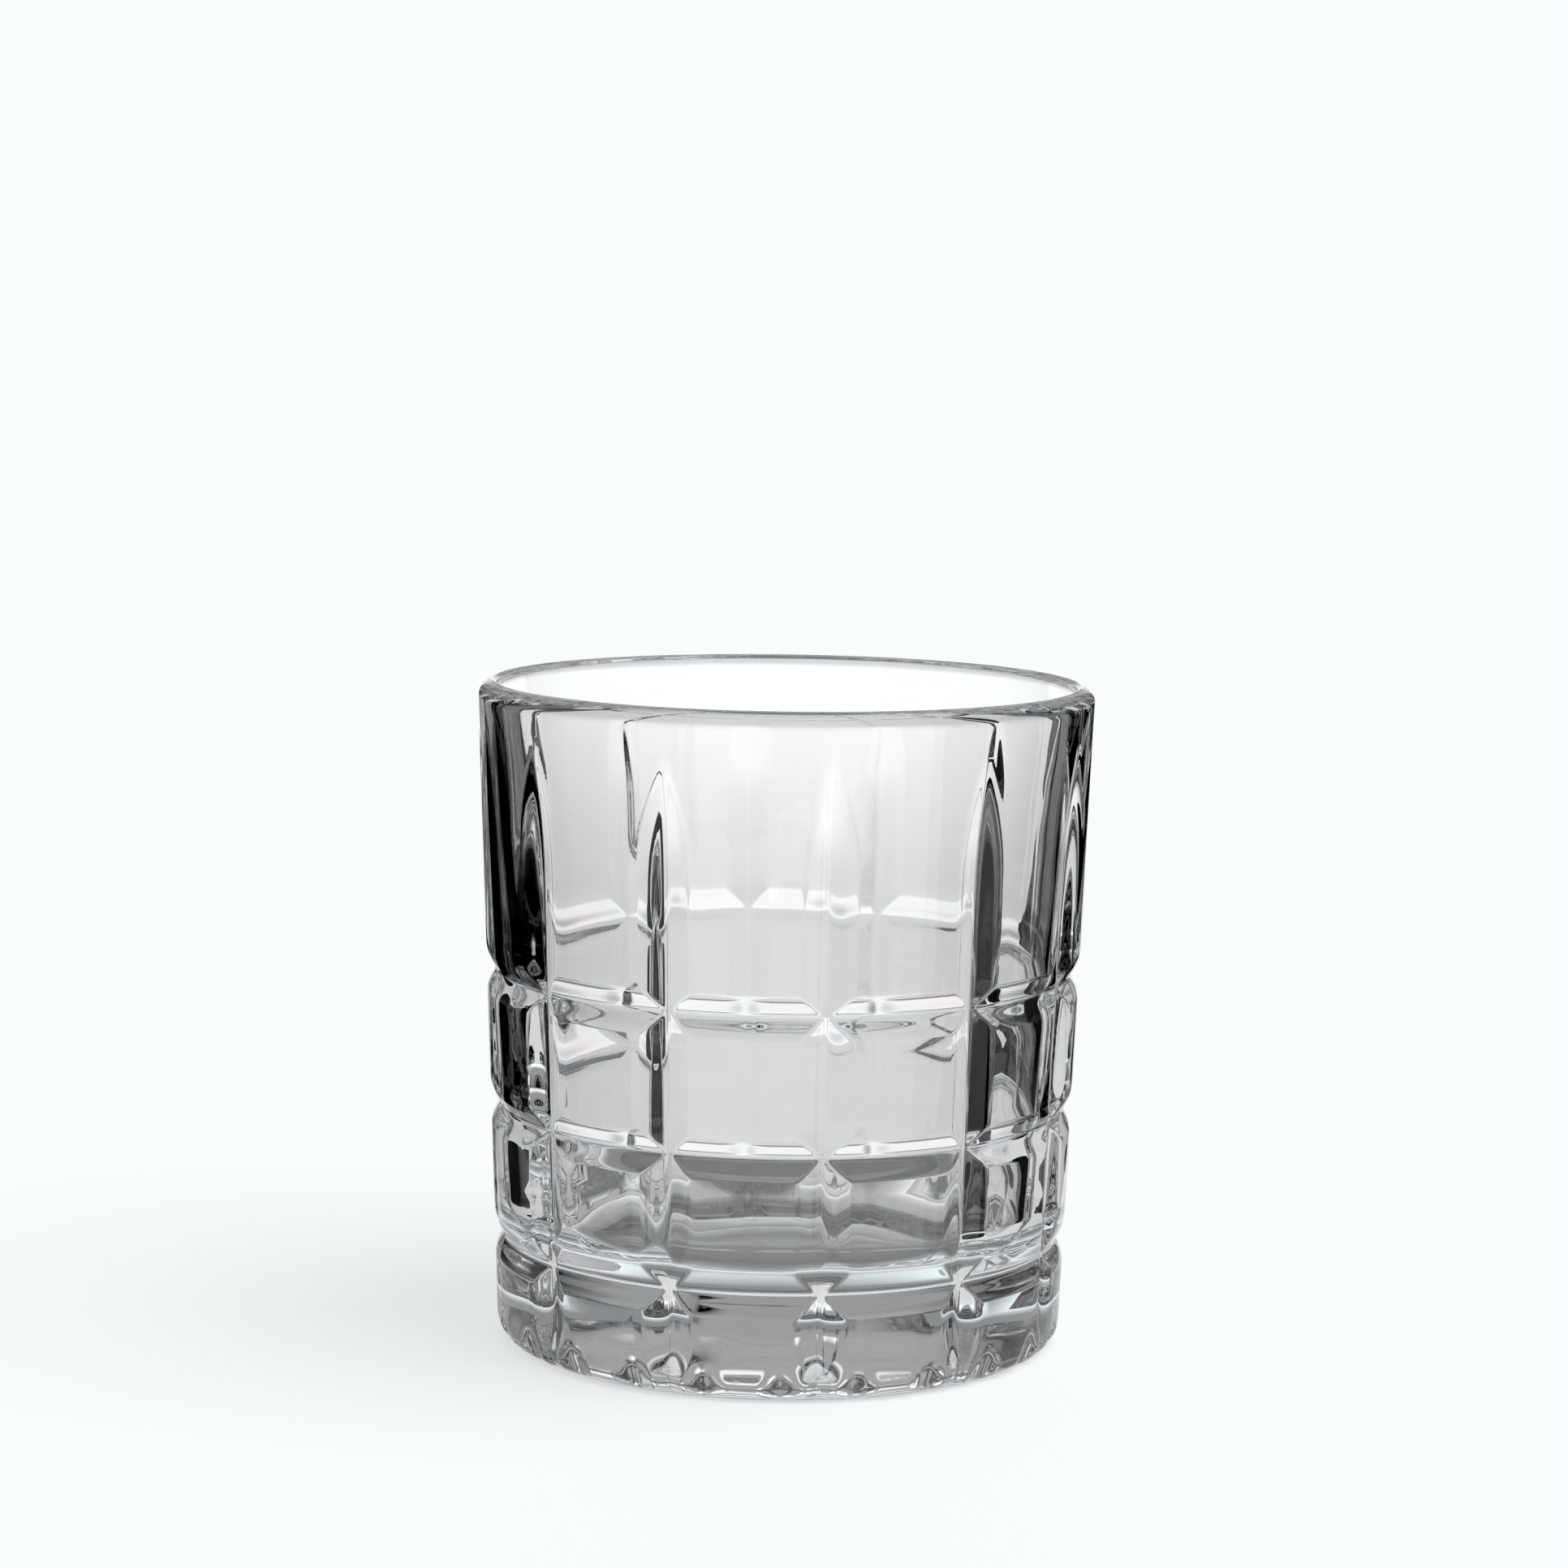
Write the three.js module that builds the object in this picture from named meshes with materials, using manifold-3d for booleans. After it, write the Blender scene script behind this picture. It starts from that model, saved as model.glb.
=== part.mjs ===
// Whiskey tumbler (old-fashioned glass): one piece of pressed clear glass.
//
// Origin at the centre of the base, on the plane the glass stands on. +Z is up, along the glass's own axis.
// Millimetres throughout. Azimuth 0 faces -Y and grows towards +X.
import * as THREE from "three";
import { mergeVertices } from "three/addons/utils/BufferGeometryUtils.js";
import Module from "manifold-3d";

// Outside of the body: a cone that narrows slightly towards the foot.
const HEIGHT = 88.2;
const RIM_RADIUS = 41;
const OUTER_TAPER = 0.0369; // radius lost per millimetre of height
const FOOT_ROUND = 3; // rounding of the lower outer edge
const RIM_OUTER_ROUND = 1.9; // fire-polished lip, rounder on its outside
const RIM_INNER_ROUND = 0.7;

// Bowl: steeper sides than the outside, so the wall thickens towards the heavy base.
const BOWL_RIM_RADIUS = 38.4;
const BOWL_TAPER = 0.085;
const FLOOR_HEIGHT = 13.8;
const FLOOR_ROUND = 6.4; // rounding between the bowl's floor and its side

// Underside: a flat standing ring round a shallow dish.
const DISH_RADIUS = 27;
const DISH_DEPTH = 0.8;
const DISH_STEPS = 3;

// Ring grooves, cut round the body.
const RING_HEIGHTS = [14, 31.7, 49.8];
const RING_DEPTH = 1.2;
const RING_HALF_WIDTH = 2.4;

// Upright grooves, cut down the body, with a pointed end below the rim and another at the foot.
const UPRIGHT_COUNT = 12;
const UPRIGHT_DEPTH = 1.35;
const UPRIGHT_HALF_WIDTH = 2.9;
const UPRIGHT_TIP = 80; // height of the upper point
const UPRIGHT_SHOULDER = 66; // the groove has its full width below this height
const UPRIGHT_TOE = 9; // and above this one
const UPRIGHT_HEEL = 1.5; // height of the lower point
const GROOVE_LAND = 0.2; // half-width of the flat at the bottom of every groove

// Thumb cuts, scooped out of the foot's lower edge, two to each panel.
const THUMB_COUNT = 24;
const THUMB_RADIUS = 5;
const THUMB_TOP = 4.2; // height of the cut's arch on the outside
const THUMB_TILT = THREE.MathUtils.degToRad(67.5); // how steeply the cut runs down
const THUMB_CUTTER_LENGTH = 40;

// Faceting of the round shapes.
const LATHE_SEGMENTS = 72;
const ROUND_STEPS = 4;
const POINT_STEPS = 6;
const POINT_RUNOUT = 1.15; // how far the upright cutters run past their points, clear of the body
const THUMB_SEGMENTS = 20;
const CUTTER_OUTREACH = 3; // how far the cutters stand clear of the body

const outerRadius = (z) => RIM_RADIUS - OUTER_TAPER * (HEIGHT - z);
const bowlRadius = (z) => BOWL_RIM_RADIUS - BOWL_TAPER * (HEIGHT - z);

// Points of a circular arc in the (radius, height) plane, both ends included.
function arc(centreRadius, centreHeight, radius, startAngle, endAngle, steps) {
  const points = [];
  for (let i = 0; i <= steps; i++) {
    const angle = THREE.MathUtils.lerp(startAngle, endAngle, i / steps);
    points.push(
      new THREE.Vector2(
        centreRadius + radius * Math.cos(angle),
        centreHeight + radius * Math.sin(angle),
      ),
    );
  }
  return points;
}

// The shallow dish under the base, from its middle out to the standing ring.
function dish() {
  const points = [];
  for (let i = 0; i <= DISH_STEPS; i++) {
    const reach = i / DISH_STEPS;
    points.push(new THREE.Vector2(DISH_RADIUS * reach, DISH_DEPTH * (1 - reach * reach)));
  }
  return points;
}

// The four corners of a ring groove's section, from its lower edge to its upper edge.
function ringSection(z) {
  const valley = outerRadius(z) - RING_DEPTH;
  return [
    new THREE.Vector2(outerRadius(z - RING_HALF_WIDTH), z - RING_HALF_WIDTH),
    new THREE.Vector2(valley, z - GROOVE_LAND),
    new THREE.Vector2(valley, z + GROOVE_LAND),
    new THREE.Vector2(outerRadius(z + RING_HALF_WIDTH), z + RING_HALF_WIDTH),
  ];
}

// Half section of the glass, from the axis under the base, up the outside, over the lip and down the bowl.
function bodyProfile() {
  const sideTop = HEIGHT - RIM_OUTER_ROUND;
  const bowlTop = HEIGHT - RIM_INNER_ROUND;
  const floorTop = FLOOR_HEIGHT + FLOOR_ROUND;
  return [
    ...dish(),
    ...arc(outerRadius(FOOT_ROUND) - FOOT_ROUND, FOOT_ROUND, FOOT_ROUND, -Math.PI / 2, 0, ROUND_STEPS),
    ...RING_HEIGHTS.flatMap(ringSection),
    ...arc(
      outerRadius(sideTop) - RIM_OUTER_ROUND,
      sideTop,
      RIM_OUTER_ROUND,
      0,
      Math.PI / 2,
      ROUND_STEPS,
    ),
    ...arc(
      bowlRadius(bowlTop) + RIM_INNER_ROUND,
      bowlTop,
      RIM_INNER_ROUND,
      Math.PI / 2,
      Math.PI,
      ROUND_STEPS,
    ),
    ...arc(
      bowlRadius(floorTop) - FLOOR_ROUND,
      floorTop,
      FLOOR_ROUND,
      0,
      -Math.PI / 2,
      2 * ROUND_STEPS,
    ),
    new THREE.Vector2(0, FLOOR_HEIGHT),
  ];
}

// Outline of an upright groove's cutter in its own (radius, height) plane. The inner side is the
// groove's valley: it follows the body at full depth, then curves out through the surface at each end.
function uprightOutline() {
  const outside = RIM_RADIUS + CUTTER_OUTREACH;
  const points = [];
  const addEnd = (from, to, reversed) => {
    const end = [];
    for (let i = 0; i <= POINT_STEPS; i++) {
      const reach = (POINT_RUNOUT * i) / POINT_STEPS;
      const z = THREE.MathUtils.lerp(from, to, reach);
      end.push(new THREE.Vector2(outerRadius(z) - UPRIGHT_DEPTH * (1 - reach * reach), z));
    }
    points.push(...(reversed ? end.reverse() : end));
  };
  addEnd(UPRIGHT_TOE, UPRIGHT_HEEL, true);
  addEnd(UPRIGHT_SHOULDER, UPRIGHT_TIP, false);
  const lowest = points[0];
  const highest = points[points.length - 1];
  points.push(new THREE.Vector2(outside, highest.y), new THREE.Vector2(outside, lowest.y));
  return new THREE.Shape(points.reverse());
}

// An upright groove's cutter: the outline swept across the groove, moving outward at each side of the
// flat bottom, so that every cross-section is the same V.
function uprightCutter(azimuth) {
  const side = UPRIGHT_HALF_WIDTH + CUTTER_OUTREACH;
  const lean = UPRIGHT_DEPTH / (UPRIGHT_HALF_WIDTH - GROOVE_LAND);
  const offsets = [-side, -GROOVE_LAND, GROOVE_LAND, side];
  const steps = offsets.length - 1;
  const cutter = new THREE.ExtrudeGeometry(uprightOutline(), {
    depth: steps,
    steps,
    bevelEnabled: false,
  });
  const position = cutter.getAttribute("position");
  for (let i = 0; i < position.count; i++) {
    const offset = offsets[Math.round(position.getZ(i))];
    position.setX(i, position.getX(i) + lean * (Math.abs(offset) - GROOVE_LAND));
    position.setZ(i, offset);
  }
  const radial = new THREE.Vector3(Math.sin(azimuth), -Math.cos(azimuth), 0);
  const sideways = new THREE.Vector3(-Math.cos(azimuth), -Math.sin(azimuth), 0);
  const up = new THREE.Vector3(0, 0, 1);
  return cutter.applyMatrix4(new THREE.Matrix4().makeBasis(radial, up, sideways));
}

// A thumb cut's cutter: a round bar that leans in under the foot.
function thumbCutter(azimuth) {
  const bar = new THREE.CylinderGeometry(THUMB_RADIUS, THUMB_RADIUS, THUMB_CUTTER_LENGTH, THUMB_SEGMENTS);
  // The bar's uppermost line leaves the outside at THUMB_TOP.
  const acrossBar = new THREE.Vector2(Math.sin(THUMB_TILT), -Math.cos(THUMB_TILT));
  const centreRadius = outerRadius(THUMB_TOP) + THUMB_RADIUS * acrossBar.x;
  const centreHeight = THUMB_TOP + THUMB_RADIUS * acrossBar.y;
  bar.rotateX(Math.PI - THUMB_TILT);
  bar.translate(0, -centreRadius, centreHeight);
  bar.rotateZ(azimuth);
  return bar;
}

const wasm = await Module();
wasm.setup();

function toManifold(geometry) {
  const plain = geometry.clone();
  plain.deleteAttribute("normal");
  plain.deleteAttribute("uv");
  const merged = mergeVertices(plain, 1e-4);
  return new wasm.Manifold(
    new wasm.Mesh({
      numProp: 3,
      vertProperties: new Float32Array(merged.attributes.position.array),
      triVerts: new Uint32Array(merged.index.array),
    }),
  );
}

function toGeometry(manifold) {
  const mesh = manifold.getMesh();
  const geometry = new THREE.BufferGeometry();
  geometry.setAttribute("position", new THREE.BufferAttribute(mesh.vertProperties, 3));
  geometry.setIndex(new THREE.BufferAttribute(mesh.triVerts, 1));
  geometry.computeVertexNormals();
  return geometry;
}

function makeBody() {
  const lathe = new THREE.LatheGeometry(bodyProfile(), LATHE_SEGMENTS);
  lathe.rotateX(Math.PI / 2); // LatheGeometry turns about Y
  let body = toManifold(lathe);

  for (let i = 0; i < UPRIGHT_COUNT; i++) {
    const azimuth = (i / UPRIGHT_COUNT) * 2 * Math.PI;
    body = body.subtract(toManifold(uprightCutter(azimuth)));
  }
  for (let i = 0; i < THUMB_COUNT; i++) {
    const azimuth = ((i + 0.5) / THUMB_COUNT) * 2 * Math.PI;
    body = body.subtract(toManifold(thumbCutter(azimuth)));
  }
  return toGeometry(body);
}

const clearGlass = new THREE.MeshStandardMaterial({
  color: 0xf4f8f8,
  roughness: 0.03,
  metalness: 0,
  transparent: true,
  opacity: 0.35,
});

const glassBody = new THREE.Mesh(makeBody(), clearGlass);
glassBody.name = "glass_body";

const tumbler = new THREE.Group();
tumbler.name = "whiskey_tumbler";
tumbler.add(glassBody);

export default tumbler;
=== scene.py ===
import math

import bpy
import numpy as np
from mathutils import Matrix, Vector


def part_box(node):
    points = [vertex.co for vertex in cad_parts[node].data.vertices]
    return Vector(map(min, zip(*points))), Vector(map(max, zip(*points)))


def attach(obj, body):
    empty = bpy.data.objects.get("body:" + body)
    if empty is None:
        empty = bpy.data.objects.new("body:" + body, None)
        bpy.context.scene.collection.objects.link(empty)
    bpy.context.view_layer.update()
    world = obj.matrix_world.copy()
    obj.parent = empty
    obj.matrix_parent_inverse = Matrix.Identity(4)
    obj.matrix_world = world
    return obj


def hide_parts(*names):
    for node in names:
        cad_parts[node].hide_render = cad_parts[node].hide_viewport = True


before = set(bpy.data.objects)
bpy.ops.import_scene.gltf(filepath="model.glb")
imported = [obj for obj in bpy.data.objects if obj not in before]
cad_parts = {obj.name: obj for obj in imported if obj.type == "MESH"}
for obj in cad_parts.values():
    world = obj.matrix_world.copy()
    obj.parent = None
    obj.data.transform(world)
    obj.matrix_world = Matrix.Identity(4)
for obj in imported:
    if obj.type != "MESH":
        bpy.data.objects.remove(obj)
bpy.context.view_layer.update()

MM = 0.001

# ---------------------------------------------------------------- camera
CAMERA_AZIMUTH = math.radians(-8.2)  # turns the front groove a little to the right
CAMERA_DISTANCE = 536.0 * MM  # from the glass's axis
CAMERA_HEIGHT = 140.3 * MM
CAMERA_PITCH = math.radians(7.01)  # looking down
CAMERA_ROLL = math.radians(0.83)
CAMERA_PAN = math.radians(0.023)  # to the right of the axis
CAMERA_LENS = 93.07
CAMERA_SENSOR = 36.0
CAMERA_CLIP = 10 * MM


def make_camera():
    data = bpy.data.cameras.new("camera")
    data.lens = CAMERA_LENS
    data.sensor_width = CAMERA_SENSOR
    data.clip_start = CAMERA_CLIP
    camera = bpy.data.objects.new("camera", data)
    bpy.context.scene.collection.objects.link(camera)
    heading = CAMERA_AZIMUTH + CAMERA_PAN
    forward = Vector((-math.sin(heading), math.cos(heading), 0)) * math.cos(CAMERA_PITCH)
    forward.z = -math.sin(CAMERA_PITCH)
    level = Vector((math.cos(heading), math.sin(heading), 0))
    above = level.cross(forward)
    right = level * math.cos(CAMERA_ROLL) + above * math.sin(CAMERA_ROLL)
    up = right.cross(forward)
    turn = Matrix((right, up, -forward)).transposed()
    place = Vector(
        (
            CAMERA_DISTANCE * math.sin(CAMERA_AZIMUTH),
            -CAMERA_DISTANCE * math.cos(CAMERA_AZIMUTH),
            CAMERA_HEIGHT,
        )
    )
    camera.matrix_world = Matrix.Translation(place) @ turn.to_4x4()
    bpy.context.scene.camera = camera


make_camera()

# ---------------------------------------------------------------- the glass
# Sizes in millimetres, as the CAD part has them.
low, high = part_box("glass_body")
HEIGHT = high.z / MM
RIM_RADIUS = 41.0
OUTER_TAPER = 0.0369
FOOT_ROUND = 3.0
RIM_OUTER_ROUND = 1.9
RIM_INNER_ROUND = 0.7
BOWL_RIM_RADIUS = 38.4
BOWL_TAPER = 0.085
FLOOR_HEIGHT = 13.8
FLOOR_ROUND = 6.4
DISH_RADIUS = 27.0
DISH_DEPTH = 0.8

RING_HEIGHTS = (14.0, 31.7, 49.8)
RING_DEPTH = 1.2
RING_HALF_WIDTH = 2.4
UPRIGHT_COUNT = 12
UPRIGHT_DEPTH = 1.35
UPRIGHT_HALF_WIDTH = 2.9
UPRIGHT_TIP, UPRIGHT_SHOULDER = 80.0, 66.0
UPRIGHT_TOE, UPRIGHT_HEEL = 9.0, 1.5
GROOVE_LAND = 0.2
THUMB_COUNT = 24
THUMB_RADIUS = 5.0
THUMB_TOP = 4.2
THUMB_TILT = math.radians(67.5)

# Fire polish: how far each kind of edge is melted round.
VALLEY_MELT = 0.5
SHOULDER_MELT = 0.6
MITRE_MELT = 0.2
THUMB_MELT = 0.5
BOWL_WAVE = 0.03  # unevenness of the bowl's side
BOWL_WAVE_FADE = 8  # it dies away over this height towards the lip and the floor
# The swells: how many to a turn, how they lean with height, where they start, and strength.
BOWL_SWELLS = ((3, 0.11, 0.0, 1.0), (7, -0.23, 1.0, 0.7), (11, 0.31, 2.0, 0.5))


def outer_radius(z):
    return RIM_RADIUS - OUTER_TAPER * (HEIGHT - z)


def bowl_radius(z):
    return BOWL_RIM_RADIUS - BOWL_TAPER * (HEIGHT - z)


def melted_max(a, b, melt):
    """The larger of a and b, with the crease between them melted round."""
    return np.maximum(a, b) + np.clip(melt - np.abs(a - b), 0, None) ** 2 / (4 * melt)


def v_groove(offset, half_width, depth):
    """Depth of a V groove at an offset from its middle; negative beyond its edges."""
    slope = depth / (half_width - GROOVE_LAND)
    return depth - slope * melted_max(np.abs(offset) - GROOVE_LAND, 0, VALLEY_MELT)


def groove_depth(azimuth, z):
    """How deep the grooves lie under the plain body at a place on it."""
    pitch = 2 * math.pi / UPRIGHT_COUNT
    nearest = (azimuth + pitch / 2) % pitch - pitch / 2
    across = outer_radius(z) * np.sin(nearest)
    point = np.clip((z - UPRIGHT_SHOULDER) / (UPRIGHT_TIP - UPRIGHT_SHOULDER), 0, None)
    toe = np.clip((UPRIGHT_TOE - z) / (UPRIGHT_TOE - UPRIGHT_HEEL), 0, None)
    depth = v_groove(across, UPRIGHT_HALF_WIDTH, UPRIGHT_DEPTH)
    depth = depth - UPRIGHT_DEPTH * np.maximum(point, toe) ** 2
    for height in RING_HEIGHTS:
        ring = v_groove(z - height, RING_HALF_WIDTH, RING_DEPTH)
        depth = melted_max(depth, ring, MITRE_MELT)
    return melted_max(depth, 0, SHOULDER_MELT)


def thumbed(azimuth, r, z):
    """A place on the foot, pushed in to the thumb cuts."""
    pitch = 2 * math.pi / THUMB_COUNT
    offset = azimuth % pitch - pitch / 2
    inward, upward = -math.sin(THUMB_TILT), math.cos(THUMB_TILT)
    bar_r = outer_radius(THUMB_TOP) - THUMB_RADIUS * inward
    bar_z = THUMB_TOP - THUMB_RADIUS * upward
    height = (r * np.cos(offset) - bar_r) * inward + (z - bar_z) * upward
    across = np.minimum(np.abs(r * np.sin(offset)), 0.999 * THUMB_RADIUS)
    lift = melted_max(height, np.sqrt(THUMB_RADIUS**2 - across**2), THUMB_MELT) - height
    return r + lift * inward, z + lift * upward


def graded(*stretches):
    """Values from (start, end, steps) stretches that follow one another."""
    values = [np.linspace(a, b, n, endpoint=False) for a, b, n in stretches]
    return np.concatenate(values + [[stretches[-1][1]]])


class Skin:
    """A closed skin made of rings of vertices, one above the other, sewn with triangles."""

    def __init__(self):
        self.vertices, self.faces, self.last = [], [], None

    def pole(self, z):
        self.vertices.append((0.0, 0.0, z))
        self._sew([len(self.vertices) - 1], np.zeros(1), 1)

    def ring(self, azimuths, r, z, slant=1):
        first = len(self.vertices)
        r, z = np.broadcast_to(r, azimuths.shape), np.broadcast_to(z, azimuths.shape)
        self.vertices += zip(r * np.sin(azimuths), -r * np.cos(azimuths), z)
        self._sew(list(range(first, first + len(azimuths))), azimuths, slant)

    def _sew(self, ids, azimuths, slant):
        if self.last is not None:
            self._strip(*self.last, ids, azimuths, slant)
        self.last = (ids, azimuths)

    def _strip(self, a, az_a, b, az_b, slant):
        """Triangles between two rings. Where both have a vertex, slant picks the diagonal that
        points at the nearest upright groove, so the mitres at the crossings stay straight."""
        if len(a) == 1:
            self.faces += [(a[0], b[(i + 1) % len(b)], b[i]) for i in range(len(b))]
            return
        if len(b) == 1:
            self.faces += [(a[i], a[(i + 1) % len(a)], b[0]) for i in range(len(a))]
            return
        turn, pitch = 2 * math.pi, 2 * math.pi / UPRIGHT_COUNT
        i = j = 0
        while i < len(a) or j < len(b):
            next_a = az_a[(i + 1) % len(a)] + turn * ((i + 1) // len(a))
            next_b = az_b[(j + 1) % len(b)] + turn * ((j + 1) // len(b))
            if i == len(a) or j == len(b):
                step_a = j == len(b)
            elif abs(next_a - next_b) < 1e-9:
                side = (az_a[i] + 1e-6) % pitch < pitch / 2
                step_a = side == (slant < 0)
            else:
                step_a = next_a < next_b
            if step_a:
                self.faces.append((a[i % len(a)], a[(i + 1) % len(a)], b[j % len(b)]))
                i += 1
            else:
                self.faces.append((a[i % len(a)], b[(j + 1) % len(b)], b[j % len(b)]))
                j += 1


PANEL = 2 * math.pi / UPRIGHT_COUNT
FINE_ROWS = 240  # vertices round the smooth parts
FOOT_ROWS = 648  # and round the thumb cuts
# Steps across a groove, over the margin beyond each of its edges, and across a panel.
GROOVE_STEPS, EDGE_STEPS, PANEL_STEPS = 20, 3, 10
MEAN_RADIUS = 39.5  # turns a groove's width into an angle
UPRIGHT_MARGIN, RING_MARGIN = 1.3, 1.25  # how far the margins reach, in half widths
BODY_STEP, BODY_STEPS_LEAST = 1.6, 3  # plain rows between the ring grooves
TIP_MARGIN = 0.8  # fine rows go on this far above the uprights' points
SHANK_STEPS, POINT_STEPS, COLLAR_STEPS = 8, 26, 4  # below, along and above the points
DISH_STEPS, RING_STEPS = 12, 4
STANDING_RING_END = 33.0  # smooth rows up to here, and rows with the foot's density from
FOOT_START = 33.3
FOOT_TOP = 5.4
FOOT_GAP = 0.3  # from the foot's last row to the body's first
FOOT_FLAT_STEPS, FOOT_BEND_STEPS, FOOT_SIDE_STEPS = 7, 11, 9
LIP_GAP = 0.5  # from the body's last row to the lip
LIP_OUTER_STEPS, LIP_INNER_STEPS = 10, 6
BOWL_GAP = 1  # from the lip's last row to the bowl's first
BOWL_STEPS, BOWL_BEND_STEPS, BOWL_FLOOR_STEPS = 34, 18, 8
POLE_GAP = 1.0  # radius of the innermost ring round each pole


def even_azimuths(count):
    return np.arange(count) * 2 * math.pi / count


def body_azimuths():
    """Columns close together across each upright groove, wider apart over the panels."""
    half = UPRIGHT_HALF_WIDTH / MEAN_RADIUS
    edge = UPRIGHT_MARGIN * half
    one = graded(
        (-edge, -half, EDGE_STEPS),
        (-half, half, GROOVE_STEPS),
        (half, edge, EDGE_STEPS),
        (edge, PANEL - edge, PANEL_STEPS),
    )[:-1]
    columns = np.concatenate([one + i * PANEL for i in range(UPRIGHT_COUNT)])
    return np.sort(columns % (2 * math.pi))


def body_heights(bottom, top):
    """Rows close together across each ring groove and up the grooves' points."""
    half, edge = RING_HALF_WIDTH, RING_MARGIN * RING_HALF_WIDTH
    heights, at = [], bottom
    for ring in RING_HEIGHTS:
        plain = max(BODY_STEPS_LEAST, round((ring - edge - at) / BODY_STEP))
        heights.append(graded((at, ring - edge, plain)))
        heights.append(graded((ring - edge, ring - half, EDGE_STEPS),
                              (ring - half, ring + half, GROOVE_STEPS),
                              (ring + half, ring + edge, EDGE_STEPS)))
        at = ring + edge
    tip = UPRIGHT_TIP + TIP_MARGIN
    heights.append(graded((at, UPRIGHT_SHOULDER, SHANK_STEPS), (UPRIGHT_SHOULDER, tip, POINT_STEPS),
                          (tip, top, COLLAR_STEPS)))
    return np.unique(np.round(np.concatenate(heights), 6))


def arc(centre_r, centre_z, radius, start, end, steps):
    angles = np.linspace(start, end, steps + 1)
    return zip(centre_r + radius * np.cos(angles), centre_z + radius * np.sin(angles))


def bowl_unevenness(azimuth, z):
    """The bowl's side is never quite true: long shallow swells left by the plunger."""
    swell = sum(part * np.sin(count * azimuth + lean * z + start)
                for count, lean, start, part in BOWL_SWELLS)
    return BOWL_WAVE * swell / 2


def make_glass():
    skin = Skin()
    smooth, foot, body = even_azimuths(FINE_ROWS), even_azimuths(FOOT_ROWS), body_azimuths()

    # Underside: the dish, then the standing ring.
    skin.pole(DISH_DEPTH)
    for r in graded((POLE_GAP, DISH_RADIUS, DISH_STEPS),
                    (DISH_RADIUS, STANDING_RING_END, RING_STEPS)):
        skin.ring(smooth, r, DISH_DEPTH * max(0, 1 - (r / DISH_RADIUS) ** 2))

    # Foot: the standing ring's edge, the rounding and the thumb cuts.
    flat_end = outer_radius(0) - FOOT_ROUND
    flat = [(r, 0.0) for r in graded((FOOT_START, flat_end, FOOT_FLAT_STEPS))[:-1]]
    bend = list(arc(outer_radius(FOOT_ROUND) - FOOT_ROUND, FOOT_ROUND, FOOT_ROUND,
                    -math.pi / 2, 0, FOOT_BEND_STEPS))
    side = [(outer_radius(z), z) for z in graded((FOOT_ROUND, FOOT_TOP, FOOT_SIDE_STEPS))[1:]]
    for r, z in flat + bend + side:
        depth = groove_depth(foot, max(z, FOOT_ROUND)) if z > 0 else 0
        skin.ring(foot, *thumbed(foot, r - depth, z))

    # Body, with the grooves.
    lip_start = HEIGHT - RIM_OUTER_ROUND
    for z in body_heights(FOOT_TOP + FOOT_GAP, lip_start - LIP_GAP):
        nearest = min(RING_HEIGHTS, key=lambda ring: abs(ring - z))
        skin.ring(body, outer_radius(z) - groove_depth(body, z), z, 1 if z > nearest else -1)

    # Lip.
    bowl_top = HEIGHT - RIM_INNER_ROUND
    lip = [*arc(outer_radius(lip_start) - RIM_OUTER_ROUND, lip_start, RIM_OUTER_ROUND,
                0, math.pi / 2, LIP_OUTER_STEPS),
           *arc(bowl_radius(bowl_top) + RIM_INNER_ROUND, bowl_top, RIM_INNER_ROUND,
                math.pi / 2, math.pi, LIP_INNER_STEPS)]
    for r, z in lip:
        skin.ring(smooth, r, z)

    # Bowl: its side, the round into the floor, and the floor.
    floor_top = FLOOR_HEIGHT + FLOOR_ROUND
    for z in graded((bowl_top - BOWL_GAP, floor_top, BOWL_STEPS)):
        fade = min(1, (bowl_top - z) / BOWL_WAVE_FADE, (z - floor_top) / BOWL_WAVE_FADE)
        skin.ring(smooth, bowl_radius(z) + fade * bowl_unevenness(smooth, z), z)
    bend = list(arc(bowl_radius(floor_top) - FLOOR_ROUND, floor_top, FLOOR_ROUND,
                    0, -math.pi / 2, BOWL_BEND_STEPS))
    for r, z in bend[1:]:
        skin.ring(smooth, r, z)
    for r in graded((bend[-1][0], POLE_GAP, BOWL_FLOOR_STEPS))[1:]:
        skin.ring(smooth, r, FLOOR_HEIGHT)
    skin.pole(FLOOR_HEIGHT)

    mesh = bpy.data.meshes.new("tumbler_glass")
    mesh.from_pydata([tuple(c * MM for c in v) for v in skin.vertices], [], skin.faces)
    mesh.shade_smooth()
    mesh.validate()
    piece = bpy.data.objects.new("tumbler_glass", mesh)
    bpy.context.scene.collection.objects.link(piece)
    return piece


glass = make_glass()


# ---------------------------------------------------------------- glass material
GLASS_TINT = (0.955, 0.947, 0.945, 1)
GLASS_INDEX = 1.52
POLISH_SCALE = 40.0  # patches to the metre where the fire polish took more or less
POLISH_CUT = (0.35, 0.7)  # noise values where the polish starts and stops getting worse
POLISH_ROUGHNESS = (0.0, 0.014)
RIPPLE_SCALE = 120.0  # the faint ripple left by the mould
RIPPLE_HEIGHT = 0.02 * MM
WEAR_HEIGHT = (0.1 * MM, 0.45 * MM)  # the standing ring is scuffed up to here
WEAR_ROUGHNESS = 0.35
SCUFF_SCALE = 700.0
SCUFF_CUT = (0.42, 0.6)  # noise values where scuffs begin and are full
SCUFF_LEAST = 0.15  # how worn the ring is between the scuffs


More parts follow.
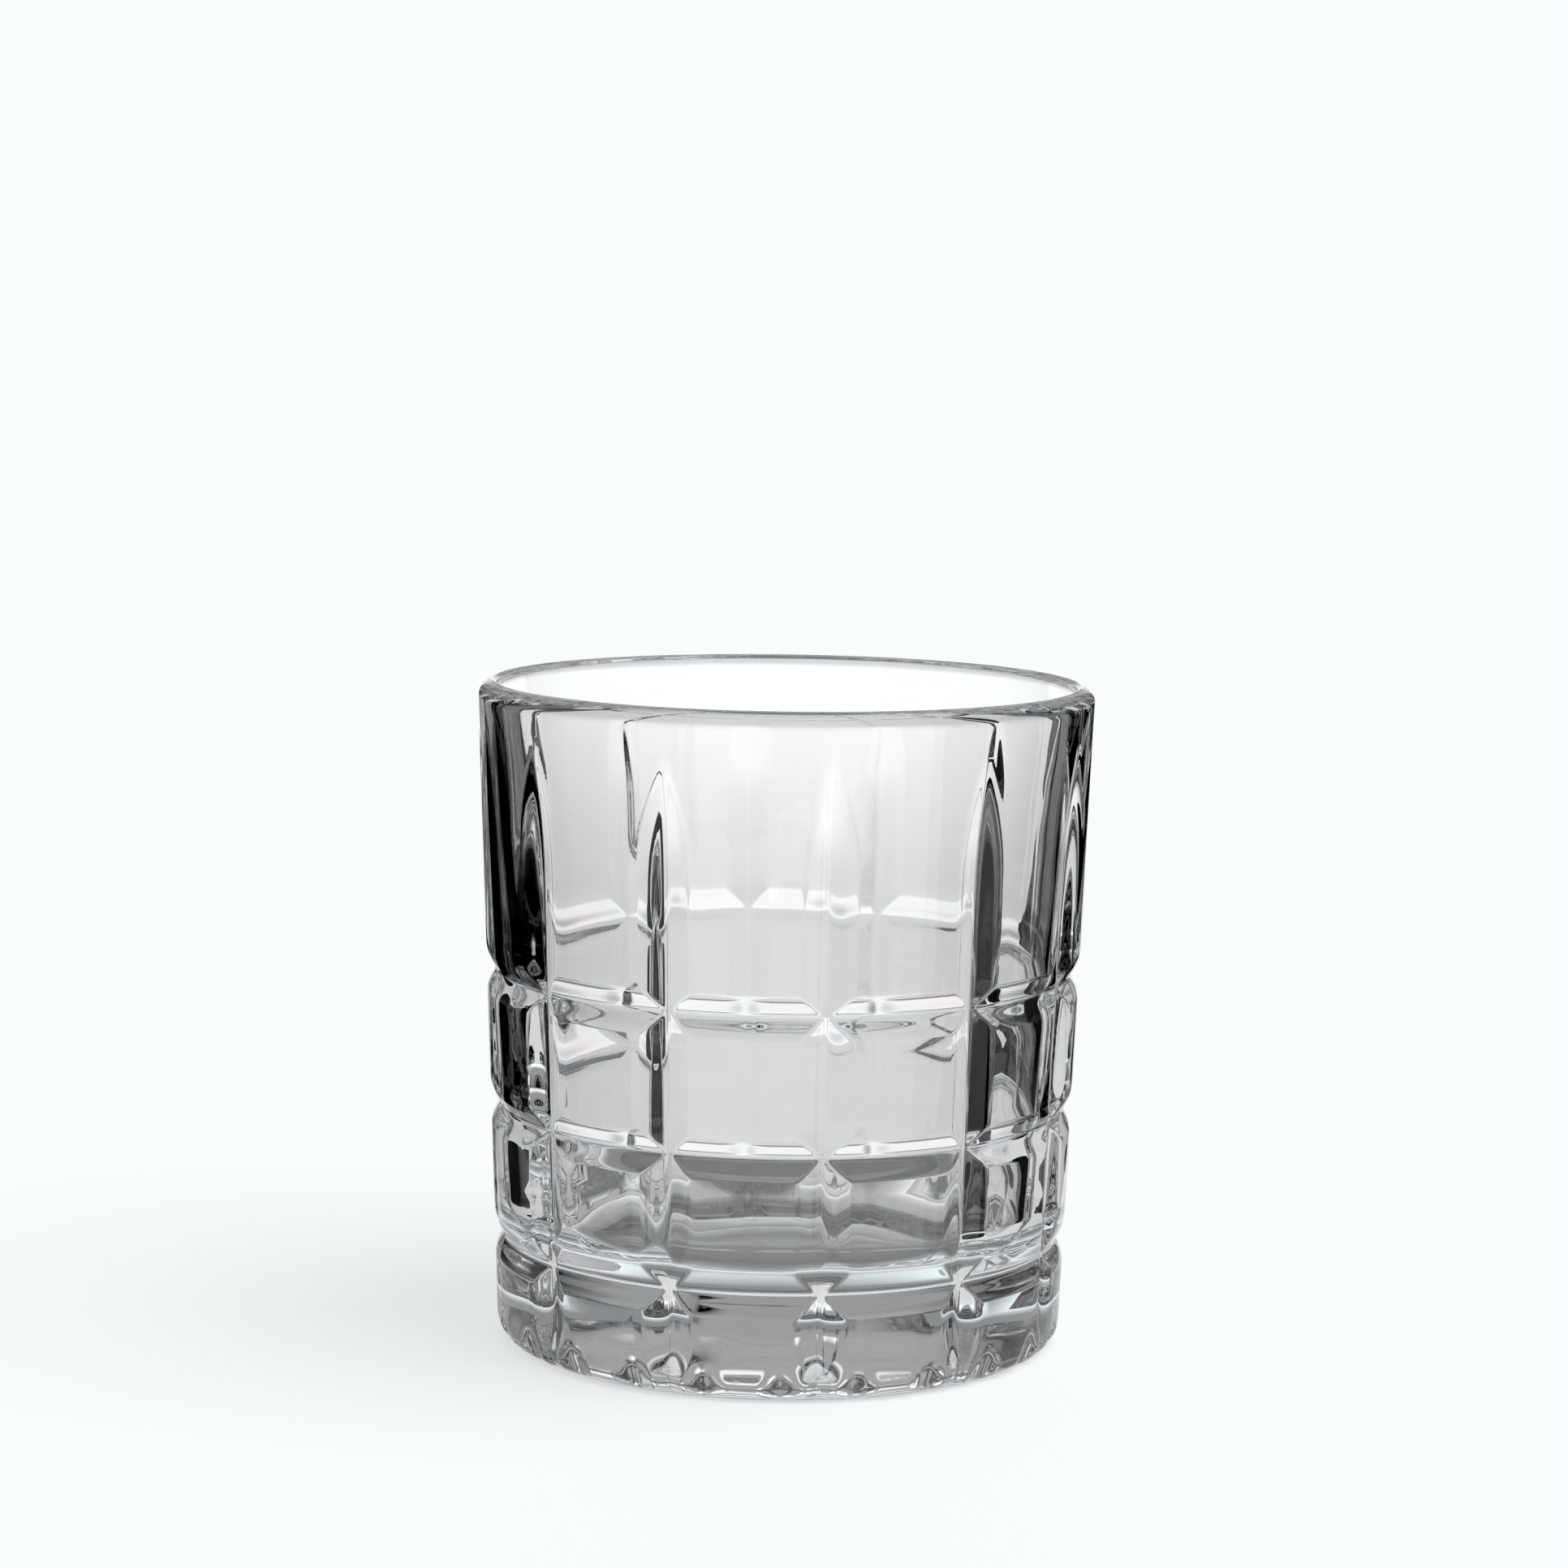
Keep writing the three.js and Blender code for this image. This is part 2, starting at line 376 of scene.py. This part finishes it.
def ramp(nodes, links, source, start, end, low, high):
    """low up to start, high from end on, and a soft step between."""
    step = nodes.new("ShaderNodeMapRange")
    step.interpolation_type = "SMOOTHSTEP"
    for name, value in zip(("From Min", "From Max", "To Min", "To Max"), (start, end, low, high)):
        step.inputs[name].default_value = value
    links.new(source, step.inputs["Value"])
    return step.outputs["Result"]


def noise(nodes, links, place, scale, detail, distortion=0.0):
    texture = nodes.new("ShaderNodeTexNoise")
    for name, value in zip(("Scale", "Detail", "Distortion"), (scale, detail, distortion)):
        texture.inputs[name].default_value = value
    links.new(place, texture.inputs["Vector"])
    return texture.outputs["Fac"]


def combined(nodes, links, operation, a, b):
    both = nodes.new("ShaderNodeMath")
    both.operation = operation
    links.new(a, both.inputs[0])
    links.new(b, both.inputs[1])
    return both.outputs["Value"]


def make_glass_material():
    """Clear glass: polish that varies a little, a faint ripple and a scuffed standing ring."""
    material = bpy.data.materials.new("pressed_glass")
    material.use_nodes = True
    nodes, links = material.node_tree.nodes, material.node_tree.links
    shader = nodes["Principled BSDF"]
    shader.inputs["Base Color"].default_value = GLASS_TINT
    shader.inputs["Transmission Weight"].default_value = 1
    shader.inputs["IOR"].default_value = GLASS_INDEX

    place = nodes.new("ShaderNodeTexCoord").outputs["Object"]
    polish = ramp(nodes, links, noise(nodes, links, place, POLISH_SCALE, 2), *POLISH_CUT,
                  *POLISH_ROUGHNESS)
    split = nodes.new("ShaderNodeSeparateXYZ")
    links.new(place, split.inputs[0])
    worn = ramp(nodes, links, split.outputs["Z"], *WEAR_HEIGHT, WEAR_ROUGHNESS, 0)
    scuffs = ramp(nodes, links, noise(nodes, links, place, SCUFF_SCALE, 3, 1.5), *SCUFF_CUT,
                  SCUFF_LEAST, 1)
    wear = combined(nodes, links, "MULTIPLY", worn, scuffs)
    links.new(combined(nodes, links, "ADD", polish, wear), shader.inputs["Roughness"])

    ripple = nodes.new("ShaderNodeBump")
    ripple.inputs["Strength"].default_value = 1
    ripple.inputs["Distance"].default_value = RIPPLE_HEIGHT
    links.new(noise(nodes, links, place, RIPPLE_SCALE, 1), ripple.inputs["Height"])
    links.new(ripple.outputs["Normal"], shader.inputs["Normal"])
    return material


glass.data.materials.append(make_glass_material())
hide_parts("glass_body")
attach(glass, "root")


# ---------------------------------------------------------------- floor and light
# A dark studio with soft lights placed round the glass, a table lit softly from below, and a black
# card close to the glass on each side. The camera doesn't see the cards directly, but they draw the
# dark edges in the glass. Seen from the side, the glass looks dark because a card is behind it.
PALE = (0.94, 0.973, 0.982, 1)  # the backdrop and the far floor
FLOOR_WHITE = 0.9
FLOOR_GLOW_WITH_PAINTED_SHADOW = (0.13, 0.7)  # under the glass, where the low value is a painted shadow, and beyond it
GLOW_THROUGH_GLASS = 0.72  # share of the glow that the glass sees: painted shade, so the floor looks darker in the glass than to the camera
# where the painted shadow under the glass gives way to the table's glow
PAINTED_SHADOW_EDGE = (30 * MM, 38 * MM)
FLOOR_SIZE = 4000 * MM
FAR_GLOW = 1.2  # how bright the glass sees the far floor; the camera sees it at 1
FLOOR_FADE = (210 * MM, 600 * MM)  # the table turns into the backdrop between these distances

CARD_ASIDE = 72 * MM
CARD_HEIGHT = 300 * MM
CARD_SPANS = ((-66 * MM, 130 * MM),)  # along the view, from the glass's axis

KEY_LIGHT = 0.9
KEY_TURN = math.radians(70)  # from the camera's side of the glass towards its right
KEY_RISE = math.radians(58)
KEY_SOFTNESS = math.radians(55)

# Soft lights at a distance: turn from the view's direction, rise, flatness, where the light starts
# and stops falling off (as chords of a unit sphere), and strength.
SOFT_LIGHTS = (
    (0, 0, 3, 0.2, 0.6, 0.8),  # backdrop, a low band behind the glass
    (0, 10, 1, 0.3, 0.9, 0.35),  # backdrop, the spill round it
    (0, 90, 1, 0.2, 0.7, 0.3),  # ceiling
    (142, 0, 3, 0.2, 0.6, 0.6),  # beside the camera
    (-142, 0, 3, 0.2, 0.6, 0.6),
)


def in_studio(aside, along, z):
    """A place given across and along the line from the camera to the glass."""
    c, s = math.cos(CAMERA_AZIMUTH), math.sin(CAMERA_AZIMUTH)
    return (aside * c - along * s, aside * s + along * c, z)


def make_plane(name, corners, material):
    mesh = bpy.data.meshes.new(name)
    mesh.from_pydata(corners, [], [(0, 1, 2, 3)])
    mesh.materials.append(material)
    plane = bpy.data.objects.new(name, mesh)
    bpy.context.scene.collection.objects.link(plane)
    return plane


def new_nodes(name):
    material = bpy.data.materials.new(name)
    material.use_nodes = True
    nodes, links = material.node_tree.nodes, material.node_tree.links
    nodes.clear()
    out = nodes.new("ShaderNodeOutputMaterial")
    return material, nodes, links, out.inputs["Surface"]


def make_floor():
    material, nodes, links, surface = new_nodes("floor")
    lit = nodes.new("ShaderNodeBsdfDiffuse")
    lit.inputs["Color"].default_value = [FLOOR_WHITE * c for c in PALE[:3]] + [1]
    glow = nodes.new("ShaderNodeEmission")
    glow.inputs["Color"].default_value = PALE
    table = nodes.new("ShaderNodeAddShader")
    far = nodes.new("ShaderNodeEmission")
    far.inputs["Color"].default_value = PALE
    path = nodes.new("ShaderNodeLightPath")
    seen = path.outputs["Is Camera Ray"]
    links.new(ramp(nodes, links, seen, 0, 1, FAR_GLOW, 1), far.inputs["Strength"])
    place = nodes.new("ShaderNodeNewGeometry")
    distance = nodes.new("ShaderNodeVectorMath")
    distance.operation = "LENGTH"
    mix = nodes.new("ShaderNodeMixShader")
    links.new(lit.outputs[0], table.inputs[0])
    links.new(glow.outputs[0], table.inputs[1])
    links.new(place.outputs["Position"], distance.inputs[0])
    away = distance.outputs["Value"]
    # the glass sees the table dimmer than the camera does: painted shade
    share = ramp(nodes, links, seen, 0, 1, GLOW_THROUGH_GLASS, 1)
    # the table's glow, dimmed inside the glass's footprint: a painted shadow under the glass
    links.new(combined(nodes, links, "MULTIPLY", ramp(nodes, links, away, *PAINTED_SHADOW_EDGE, *FLOOR_GLOW_WITH_PAINTED_SHADOW),
                       share), glow.inputs["Strength"])
    links.new(ramp(nodes, links, away, *FLOOR_FADE, 0, 1), mix.inputs["Fac"])
    links.new(table.outputs[0], mix.inputs[1])
    links.new(far.outputs[0], mix.inputs[2])
    links.new(mix.outputs[0], surface)
    edge = FLOOR_SIZE
    make_plane("floor", [(-edge, -edge, 0), (edge, -edge, 0), (edge, edge, 0), (-edge, edge, 0)],
               material)


def make_world():
    """The camera sees a pale backdrop; the glass and the floor see the soft lights."""
    world = bpy.data.worlds.new("studio")
    world.use_nodes = True
    nodes, links = world.node_tree.nodes, world.node_tree.links
    look = nodes.new("ShaderNodeTexCoord").outputs["Generated"]
    total = None
    for turn, rise, flatness, start, end, strength in SOFT_LIGHTS:
        turn, rise = math.radians(turn), math.radians(rise)
        shape = Vector((1, 1, flatness))
        middle = Vector(in_studio(math.cos(rise) * math.sin(turn), math.cos(rise) * math.cos(turn),
                                  math.sin(rise)))
        scaled = nodes.new("ShaderNodeVectorMath")
        scaled.operation = "MULTIPLY"
        scaled.inputs[1].default_value = shape
        distance = nodes.new("ShaderNodeVectorMath")
        distance.operation = "DISTANCE"
        distance.inputs[1].default_value = middle * shape
        links.new(look, scaled.inputs[0])
        links.new(scaled.outputs["Vector"], distance.inputs[0])
        light = ramp(nodes, links, distance.outputs["Value"], start, end, strength, 0)
        total = combined(nodes, links, "ADD", total, light) if total else light

    lights = nodes.new("ShaderNodeBackground")
    lights.inputs["Color"].default_value = (1, 1, 1, 1)
    links.new(total, lights.inputs["Strength"])
    seen = nodes["Background"]
    seen.inputs["Color"].default_value = PALE
    path = nodes.new("ShaderNodeLightPath")
    mix = nodes.new("ShaderNodeMixShader")
    links.new(path.outputs["Is Camera Ray"], mix.inputs["Fac"])
    links.new(lights.outputs[0], mix.inputs[1])
    links.new(seen.outputs[0], mix.inputs[2])
    links.new(mix.outputs[0], nodes["World Output"].inputs["Surface"])
    bpy.context.scene.world = world


def make_key_light():
    """Lights the table from the right, so that the glass throws a faint shadow to the left."""
    data = bpy.data.lights.new("key_light", "SUN")
    data.energy, data.angle = KEY_LIGHT, KEY_SOFTNESS
    key = bpy.data.objects.new("key_light", data)
    direction = Vector(in_studio(math.sin(KEY_TURN) * math.cos(KEY_RISE),
                                 -math.cos(KEY_TURN) * math.cos(KEY_RISE), math.sin(KEY_RISE)))
    key.rotation_euler = direction.to_track_quat("Z", "Y").to_euler()
    key.visible_glossy = key.visible_transmission = False
    bpy.context.scene.collection.objects.link(key)


def make_cards():
    black = new_nodes("black_card")[0]  # with no shader at all it takes all light
    for side in (-1, 1):
        for start, end in CARD_SPANS:
            corners = [in_studio(side * CARD_ASIDE, along, z) for along, z in
                       ((start, 0), (end, 0), (end, CARD_HEIGHT), (start, CARD_HEIGHT))]
            card = make_plane("black_card", corners, black)
            card.visible_camera = card.visible_diffuse = card.visible_shadow = False


make_floor()
make_world()
make_key_light()
make_cards()

GLASS_BOUNCES, GLOSSY_BOUNCES = 32, 16  # light crosses many walls before it leaves the base

bpy.context.scene.view_settings.view_transform = "Standard"
bpy.context.scene.cycles.max_bounces = GLASS_BOUNCES
bpy.context.scene.cycles.transmission_bounces = GLASS_BOUNCES
bpy.context.scene.cycles.glossy_bounces = GLOSSY_BOUNCES
